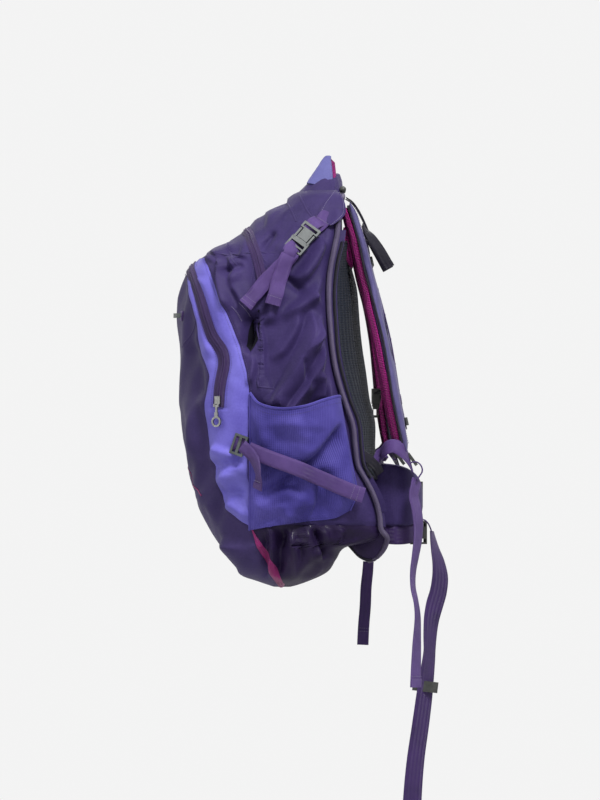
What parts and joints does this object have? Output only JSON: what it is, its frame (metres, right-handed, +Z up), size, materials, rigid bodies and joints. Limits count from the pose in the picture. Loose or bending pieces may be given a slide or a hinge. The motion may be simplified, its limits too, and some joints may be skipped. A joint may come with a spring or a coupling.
{
  "type": "daypack",
  "caption": "Ventilated hiking daypack with a framed back, stretch side pockets, front zip pocket, padded harness and open hip belt, hung by its haul loop.",
  "frame": {"origin": "inside of the haul loop at its top, where a hook bears, on the middle plane of the pack", "axes": "+Z up, +X from the front pocket to the harness and the wearer, -Y to the wearer's right"},
  "size_m": [0.3595, 0.3532, 0.907],
  "materials": {
    "bag_dark": "matte",
    "lavender": "matte",
    "base_plum": "satin",
    "stretch": "matte",
    "zip_tape": "matte",
    "wire": "satin",
    "frame_sheet": "matte",
    "sleeve": "matte",
    "binding": "matte",
    "mesh": "matte",
    "webbing": "satin",
    "light_webbing": "satin",
    "dark_webbing": "satin",
    "plastic": "satin",
    "dark_plastic": "satin",
    "strap_shell": "matte",
    "lining": "matte"
  },
  "bodies": {
    "pack": {"back_panel": "bag_dark", "side_panel_right": "bag_dark", "side_panel_left": "bag_dark", "front_gusset_right": "lavender", "front_gusset_left": "lavender", "front_panel": "bag_dark", "top_panel": "bag_dark", "bottom_panel": "base_plum", "side_pocket_right": "stretch", "side_pocket_left": "stretch", "front_zip_tape": "zip_tape", "main_zip_tape": "zip_tape", "haul_loop": "lavender", "stabiliser_wings": "bag_dark", "frame_wire": "wire", "frame_sheet": "frame_sheet", "hydration_sleeve": "sleeve", "edge_binding": "binding", "back_mesh": "mesh", "lumbar_pad": "bag_dark", "shoulder_yoke": "bag_dark", "upper_anchors": "webbing", "upper_webbing": "webbing", "lower_webbing": "webbing", "ladder_locks": "plastic", "buckle_sockets": "plastic", "buckle_plugs": "plastic", "gear_tab": "webbing", "gear_hook": "plastic", "rear_tail": "dark_webbing"},
    "strap_right": {"strap_right": "strap_shell", "strap_lining_right": "lining", "strap_lock_right": "plastic", "load_lifter_right": "dark_webbing", "adjuster_right": "webbing", "adjuster_tail_right": "light_webbing"},
    "strap_left": {"strap_left": "strap_shell", "strap_lining_left": "lining", "strap_lock_left": "plastic", "load_lifter_left": "dark_webbing", "adjuster_left": "webbing"},
    "sternum_right": {"sternum_right": "dark_plastic"},
    "sternum_left": {"sternum_left": "dark_plastic"},
    "wing_right": {"wing_right": "bag_dark", "belt_webbing_right": "webbing", "wing_lock_right": "plastic", "hip_webbing": "dark_webbing", "hip_plug": "plastic"},
    "wing_left": {"wing_left": "bag_dark", "belt_webbing_left": "webbing", "hip_socket": "plastic"},
    "hip_triglide": {"hip_triglide": "dark_plastic"},
    "zip_slider": {"zip_slider": "dark_plastic"},
    "zip_pull": {"zip_pull": "dark_plastic"},
    "main_zip_slider": {"main_zip_slider": "dark_plastic"},
    "main_zip_pull": {"main_zip_pull": "dark_plastic"},
    "arm_right_front": {"arm_right_front": "plastic"},
    "arm_right_rear": {"arm_right_rear": "plastic"},
    "arm_left_front": {"arm_left_front": "plastic"},
    "arm_left_rear": {"arm_left_rear": "plastic"}
  },
  "joints": [
    {"name": "strap_right_swing", "type": "hinge", "parent": "pack", "child": "strap_right", "pos_m": [0.024, -0.042, -0.064], "axis": [0, 1, 0], "range_deg": [-25, 0], "deforming": ["adjuster_right", "load_lifter_right"]},
    {"name": "strap_left_swing", "type": "hinge", "parent": "pack", "child": "strap_left", "pos_m": [0.024, 0.042, -0.064], "axis": [0, 1, 0], "range_deg": [-25, 0], "deforming": ["adjuster_left", "load_lifter_left"]},
    {"name": "sternum_right_slide", "type": "slide", "parent": "strap_right", "child": "sternum_right", "axis": [-0.152, 0.025, 0.9881], "range_m": [-0.02, 0.02]},
    {"name": "sternum_left_slide", "type": "slide", "parent": "strap_left", "child": "sternum_left", "axis": [-0.152, 0.025, 0.9881], "range_m": [-0.02, 0.02]},
    {"name": "wing_right_swing", "type": "hinge", "parent": "pack", "child": "wing_right", "pos_m": [0.077, -0.084, -0.441], "axis": [0, 0, 1], "range_deg": [-30, 0]},
    {"name": "wing_left_swing", "type": "hinge", "parent": "pack", "child": "wing_left", "pos_m": [0.077, 0.084, -0.441], "axis": [0, 0, 1], "range_deg": [0, 30]},
    {"name": "triglide_slide", "type": "slide", "parent": "wing_right", "child": "hip_triglide", "axis": [0.1191, 0, 0.9929], "range_m": [-0.015, 0.015]},
    {"name": "front_zip_slide", "type": "slide", "parent": "pack", "child": "zip_slider", "axis": [0.0357, -0.0291, 0.9989], "range_m": [0, 0.03]},
    {"name": "front_pull_swing", "type": "hinge", "parent": "zip_slider", "child": "zip_pull", "pos_m": [-0.14508, -0.13757, -0.324], "axis": [0.8568, -0.5156, 0], "range_deg": [-110, 0]},
    {"name": "main_zip_slide", "type": "slide", "parent": "pack", "child": "main_zip_slider", "axis": [-0.1888, -0.7213, 0.6664], "range_m": [0, 0.012]},
    {"name": "main_pull_swing", "type": "hinge", "parent": "main_zip_slider", "child": "main_zip_pull", "pos_m": [-0.09818, 0.11726, -0.11911], "axis": [-0.9261, -0.0949, -0.3652], "range_deg": [-100, 0]},
    {"name": "right_arms_squeeze", "type": "hinge", "parent": "pack", "child": "arm_right_rear", "pos_m": [-0.02854, -0.11757, -0.1183], "axis": [0.0008, -0.9171, 0.3988], "range_deg": [0, 5], "stiffness_Nm_per_rad": 0.05},
    {"name": "right_front_arm", "type": "hinge", "parent": "pack", "child": "arm_right_front", "pos_m": [-0.0448, -0.11241, -0.1064], "axis": [0.0008, -0.9171, 0.3988], "range_deg": [-5, 0], "stiffness_Nm_per_rad": 0.05},
    {"name": "left_arms_squeeze", "type": "hinge", "parent": "pack", "child": "arm_left_rear", "pos_m": [-0.02854, 0.11757, -0.1183], "axis": [-0.0008, -0.9171, -0.3988], "range_deg": [0, 5], "stiffness_Nm_per_rad": 0.05},
    {"name": "left_front_arm", "type": "hinge", "parent": "pack", "child": "arm_left_front", "pos_m": [-0.0448, 0.11241, -0.1064], "axis": [-0.0008, -0.9171, -0.3988], "range_deg": [-5, 0], "stiffness_Nm_per_rad": 0.05}
  ],
  "couplings": [
    {"joint": "right_front_arm", "follows": "right_arms_squeeze", "ratio": -1},
    {"joint": "left_front_arm", "follows": "left_arms_squeeze", "ratio": -1}
  ]
}
